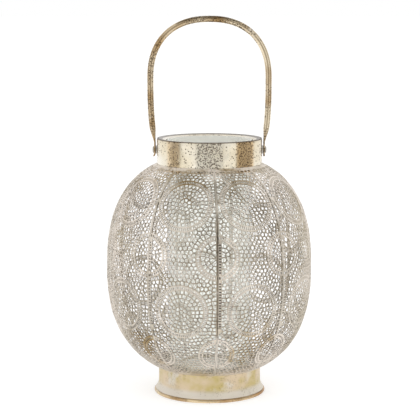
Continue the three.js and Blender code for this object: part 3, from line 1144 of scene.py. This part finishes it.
# Glass: a clear cylinder, ground to a pale matt band at its top
glass = {
    "radius": 43.3, "wall": 2.5, "rounding": 0.7, "low": 28.3, "top": 261.1, "groundFrom": 246.0,
    "ior": 1.46, "smearSize": 60, "smearRoughness": 0.04,
}
glassKinds = {
    "clear_glass": {
        "transmission": 0.965, "roughness": 0.02, "colors": (tone(247, 248, 245), tone(251, 252, 250)),
    },
    "ground_glass": {
        "transmission": 0.2, "roughness": 0.4, "colors": (tone(240, 241, 233), tone(244, 243, 235)),
    },
}


def buildGlass():
    heights = [glass["low"], 60, 100, 150, 200, 235, glass["groundFrom"], glass["top"]]
    piece = turnSkin("glass_chimney", [(glass["radius"], z) for z in heights], 144)
    finishSheet(piece, glass["wall"], glass["rounding"], segments=3, smoothAngle=50)
    standsFor(piece, "glass_cylinder", "glass")
    return piece


def glassMaterial(name, kind):
    material, tree, shader, place = newMaterial(name, 0, kind["roughness"])
    shader["Transmission Weight"].default_value = kind["transmission"]
    shader["IOR"].default_value = glass["ior"]
    smear = addNoise(tree, place, glass["smearSize"], 2, 0.5)
    feed(tree, mixColor(tree, smear, *kind["colors"]), shader["Base Color"])
    rough = plus(tree, times(tree, smear, glass["smearRoughness"]), kind["roughness"])
    feed(tree, rough, shader["Roughness"])
    return material


chimney = buildGlass()
dress(chimney, *(glassMaterial(name, kind) for name, kind in glassKinds.items()))
for face in chimney.data.polygons:
    face.material_index = 1 if face.center.z > glass["groundFrom"] * mm else 0


# Bail: tube bent to an arch and swaged flat into a tab at either end
bail = {
    "tube": 3.2, "halfSpan": 59.9, "archBase": 323.3, "archRise": 59.7, "squareness": 2.3, "pivot": 250.8,
    "tabMiddle": 55.6, "tabTop": 258.8, "tabTip": 243.8, "swage": 16.0, "tabThick": 1.8, "tabWide": 9.0,
    "sides": 24, "archSteps": 30, "legRows": 8, "swageSteps": 8, "tipSteps": 7, "tipTurn": 0.95,
    "splayBelow": 4.0, "splay": 0.35,
}
bailFinish = {
    "gold": tone(228, 213, 186), "warm": tone(170, 138, 92), "dark": tone(66, 50, 34),
    "white": tone(236, 230, 220), "metallic": 0.95, "roughness": 0.17, "pitSize": 740.0, "pits": 0.9,
    "patches": 22.0, "pitStrength": 0.85, "washSize": 50.0, "wash": 0.3, "washStrength": 0.6,
    "warmSize": 26.0, "dents": 0.0003,
}
upright = math.pi / 2


def archPoint(angle):
    power = 2 / bail["squareness"]
    x = math.cos(angle) ** power * bail["halfSpan"] if angle < upright - 1e-6 else 0
    return x, bail["archBase"] + math.sin(angle) ** power * bail["archRise"]


def legX(z):
    share = (z - bail["tabTop"]) / (bail["archBase"] - bail["tabTop"])
    return bail["tabMiddle"] + (bail["halfSpan"] - bail["tabMiddle"]) * (1 - (1 - max(share, 0)) ** 3)


def bailPath():
    # from the crown down the right side: place, lean, half thickness and half width
    tube, tabHalf, wideHalf = bail["tube"], bail["tabThick"] / 2 * 1.3, bail["tabWide"] / 2
    rows = [(0, bail["archBase"] + bail["archRise"], 0, tube, tube)]
    for step in range(1, bail["archSteps"]):
        angle = upright * (1 - step / bail["archSteps"])
        before, after = archPoint(min(angle + 0.004, upright)), archPoint(max(angle - 0.004, 0))
        lean = math.atan2(before[1] - after[1], after[0] - before[0])
        rows.append((*archPoint(angle), lean, tube, tube))
    rows.append((*archPoint(0), upright, tube, tube))
    for z in np.linspace(bail["archBase"], bail["tabTop"] + bail["swage"], bail["legRows"])[1:-1]:
        rows.append((legX(z), float(z), upright, tube, tube))
    for step in range(bail["swageSteps"] + 1):
        share = 1 - step / bail["swageSteps"]
        ease = share**2 * (3 - 2 * share)
        z = bail["tabTop"] + share * bail["swage"]
        thick, wide = (half + (tube - half) * ease for half in (tabHalf, wideHalf))
        rows.append((legX(z), z, upright, thick, wide))
    for step in range(bail["tipSteps"] + 1):
        angle = upright * bail["tipTurn"] * step / bail["tipSteps"]
        z = bail["tabTip"] + wideHalf - wideHalf * math.sin(angle)
        rows.append((bail["tabMiddle"], z, upright, tabHalf, wideHalf * math.cos(angle)))
    return rows


def placeRing(piece, ring, row):
    # shapes the last ring of the tube: the flattened part is a tube cut off at the tab's two faces
    x, z, lean, thick, wide = row
    turned = Matrix.Rotation(lean, 3, "Y")
    face = bail["tabThick"] / 2 * mm
    mesh = bmesh.from_edit_mesh(piece.data)
    mesh.verts.ensure_lookup_table()
    for vert, start in zip(mesh.verts[-len(ring):], ring):
        point = Vector((0, start.y * wide / bail["tube"], start.z * thick / bail["tube"]))
        if thick < bail["tabThick"] * 0.66:
            point.z = max(-face, min(face, point.z))
        vert.co = turned @ point + Vector((x * mm, 0, z * mm))
    bmesh.update_edit_mesh(piece.data)


def buildBail():
    deselectAll()
    bpy.ops.mesh.primitive_circle_add(
        vertices=bail["sides"], radius=bail["tube"] * mm, location=(0, 0, 0), rotation=(0, upright, 0),
    )
    piece = bpy.context.object
    piece.name = piece.data.name = "bail_tube"
    placeIntoMesh()
    ring = [vert.co.copy() for vert in piece.data.vertices]
    editAll(piece)
    for index, row in enumerate(bailPath()):
        if index:
            bpy.ops.mesh.extrude_edges_move()
        placeRing(piece, ring, row)
    bpy.ops.mesh.edge_face_add()
    leaveEdit()
    mirror = piece.modifiers.new("other_side", "MIRROR")
    mirror.use_clip = True
    mirror.merge_threshold = 0.00005
    applyModifiers(piece)
    closeUp(piece)
    # the left tab's lower tip is splayed out a little
    for vert in piece.data.vertices:
        low = bail["pivot"] - bail["splayBelow"] - vert.co.z / mm
        if vert.co.x < 0 and low > 0:
            vert.co.x -= bail["splay"] * low**1.3 * mm
    settle(piece, 45)
    standsFor(piece, "bail_handle", "bail")
    return piece


dress(buildBail(), agedGold("bail_gold", bailFinish))


# Rivets and washers: modelled upright, then laid along the pivot
rivet = {
    "tailFrom": 50.9, "tailTo": 52.1, "tail": 3.2, "shank": 2.0, "headFrom": 56.8, "head": 3.6, "rim": 0.25,
    "dome": 1.6, "domeTurn": 0.93, "domeSteps": 6, "rounding": 0.2,
}
washer = {"from": 53.8, "to": 54.4, "bore": 2.3, "radius": 4.3}


def layAlongX(piece, side):
    makeActive(piece)
    piece.rotation_euler = (0, side * upright, 0)
    piece.location = (0, 0, bail["pivot"] * mm)
    settle(piece, 40)


def buildRivet(name, side):
    top = rivet["headFrom"] + rivet["rim"]
    skin = [
        (rivet["tail"], rivet["tailFrom"]), (rivet["tail"], rivet["tailTo"]),
        (rivet["shank"], rivet["tailTo"]), (rivet["shank"], rivet["headFrom"]),
        (rivet["head"], rivet["headFrom"]), (rivet["head"], top),
    ]
    for step in range(1, rivet["domeSteps"] + 1):
        angle = upright * rivet["domeTurn"] * step / rivet["domeSteps"]
        skin.append((rivet["head"] * math.cos(angle), top + (rivet["dome"] - rivet["rim"]) * math.sin(angle)))
    piece = turnSkin(name, skin, 32, capFirst=True, capLast=True)
    addRounding(piece, rivet["rounding"])
    applyModifiers(piece)
    layAlongX(piece, side)
    return piece


def buildWasher(name, side):
    outer = [(washer["radius"], washer["from"]), (washer["radius"], washer["to"])]
    piece = turnSkin(name, outer + [(washer["bore"], height) for _, height in outer[::-1]], 32)
    editAll(piece)
    bpy.ops.mesh.select_all(action="DESELECT")
    mesh = bmesh.from_edit_mesh(piece.data)
    for edge in mesh.edges:
        edge.select = edge.is_boundary
    bmesh.update_edit_mesh(piece.data)
    bpy.ops.mesh.bridge_edge_loops()
    leaveEdit()
    closeUp(piece)
    layAlongX(piece, side)
    return piece


for side, word in ((1, "right"), (-1, "left")):
    for builder, kind in ((buildRivet, "rivet"), (buildWasher, "washer")):
        piece = builder(f"{kind}_{word}", side)
        dress(piece, steel)
        standsFor(piece, f"bail_{kind}_{word}")
print("collars, foot, pan, glass and bail built")


# Camera: in front, a little above the lantern, through a long lens
view = {"distance": 1.6394, "tilt": 7.97, "aim": 0.1885, "lens": 137.14, "shift": 0.0012}


def buildCamera():
    tilt = math.radians(view["tilt"])
    deselectAll()
    bpy.ops.object.camera_add(
        location=(0, -view["distance"] * math.cos(tilt), view["aim"] + view["distance"] * math.sin(tilt)),
        rotation=(upright - tilt, 0, 0),
    )
    camera = bpy.context.object
    camera.data.lens = view["lens"]
    camera.data.sensor_width = 36
    camera.data.clip_start = 0.05
    camera.data.clip_end = 60
    camera.data.shift_x = view["shift"]
    bpy.context.scene.camera = camera


# Studio: an even pale surround, soft lamps, and dark cards for the metal to mirror
studio = {
    "fill": 0.92, "floorColor": (0.8, 0.8, 0.79, 1), "floorShown": (0.6, 0.6, 0.6, 1), "floorGlow": 0.55,
}
lamps = [
    {"name": "soft_left", "turn": -46, "up": 22, "far": 1.6, "size": (0.9, 1.4), "watts": 2.5},
    {"name": "soft_right", "turn": 46, "up": 22, "far": 1.6, "size": (0.8, 1.4), "watts": 3.5},
]
lampAim = Vector((0, 0, 0.17))
# large soft lamps within the shell, round the glass
inside = {"heights": (0.095, 0.165), "radius": 0.055, "watts": 0.28}
# standing cards that only reflections see
cards = [
    {"name": "card_front", "turn": 1, "far": 1.1, "wide": 1.2, "tall": 2.0, "grey": 0.5},
    {"name": "card_left", "turn": -78, "far": 1.1, "wide": 0.54, "tall": 2.0, "grey": 0.44},
    {"name": "card_right", "turn": 81, "far": 1.1, "wide": 0.76, "tall": 2.0, "grey": 0.42},
]


def emptyTree(owner):
    owner.use_nodes = True
    owner.node_tree.nodes.clear()
    return owner.node_tree


def addShown(tree, plain, shown, output):
    # one shader lights the scene, and the camera, reflections and glass see the other
    path = addNode(tree, "LightPath", {}).outputs
    seen = largest(tree, path["Is Camera Ray"], path["Is Glossy Ray"], path["Is Transmission Ray"])
    mixed = addNode(tree, "MixShader", {0: seen, 1: plain.outputs[0], 2: shown.outputs[0]})
    addNode(tree, output, {"Surface": mixed.outputs[0]})


def buildWorld():
    world = bpy.data.worlds.new("studio")
    bpy.context.scene.world = world
    tree = emptyTree(world)
    strengths = (studio["fill"], 1)
    plain, shown = (addNode(tree, "Background", {"Color": (1, 1, 1, 1), "Strength": s}) for s in strengths)
    addShown(tree, plain, shown, "OutputWorld")


def buildFloor():
    deselectAll()
    bpy.ops.mesh.primitive_plane_add(size=40, location=(0, 0, -0.0002))
    floor = bpy.context.object
    floor.name = "floor"
    paint = bpy.data.materials.new("pale_floor")
    tree = emptyTree(paint)
    plain = addNode(tree, "BsdfDiffuse", {"Color": studio["floorColor"]})
    lit = addNode(tree, "BsdfDiffuse", {"Color": studio["floorShown"]})
    glow = addNode(tree, "Emission", {"Strength": studio["floorGlow"]})
    shown = addNode(tree, "AddShader", {0: lit.outputs[0], 1: glow.outputs[0]})
    addShown(tree, plain, shown, "OutputMaterial")
    dress(floor, paint)


def awayFrom(turn, up):
    turn, up = math.radians(turn), math.radians(up)
    return Vector((math.sin(turn) * math.cos(up), -math.cos(turn) * math.cos(up), math.sin(up)))


def addLamp(name, kind, place, watts):
    deselectAll()
    bpy.ops.object.light_add(type=kind, location=place)
    light = bpy.context.object
    light.name = name
    light.data.energy = watts
    light.visible_glossy = False
    return light


def buildLamps():
    for lamp in lamps:
        away = awayFrom(lamp["turn"], lamp["up"])
        light = addLamp(lamp["name"], "AREA", lampAim + away * lamp["far"], lamp["watts"])
        light.data.shape = "RECTANGLE"
        light.data.size, light.data.size_y = lamp["size"]
        light.rotation_euler = (-away).to_track_quat("-Z", "Y").to_euler()
    for index, height in enumerate(inside["heights"]):
        light = addLamp(f"soft_inside_{index}", "POINT", (0, 0, height), inside["watts"])
        light.data.shadow_soft_size = inside["radius"]
        light.visible_camera = light.visible_transmission = False


def addCard(name, place, turned, size, grey):
    deselectAll()
    bpy.ops.mesh.primitive_plane_add(size=1, location=place, rotation=turned)
    card = bpy.context.object
    card.name = name
    card.scale = size + (1,)
    card.visible_camera = card.visible_diffuse = card.visible_transmission = False
    card.visible_shadow = card.visible_volume_scatter = False
    dull = bpy.data.materials.new(name)
    tree = emptyTree(dull)
    glow = addNode(tree, "Emission", {"Color": (grey, grey * 0.95, grey * 0.86, 1)})
    addNode(tree, "OutputMaterial", {"Surface": glow.outputs[0]})
    dress(card, dull)


def buildCards():
    for card in cards:
        place = awayFrom(card["turn"], 0) * card["far"] + Vector((0, 0, card["tall"] / 2))
        turned = (upright, 0, math.radians(card["turn"]))
        addCard(card["name"], place, turned, (card["wide"], card["tall"]), card["grey"])
    addCard("card_top", (0, -0.1, 1.7), (0, 0, 0), (1.5, 2.0), 0.2)


buildCamera()
buildWorld()
buildFloor()
buildLamps()
buildCards()
bpy.context.scene.view_settings.view_transform = "Standard"

print("studio built")
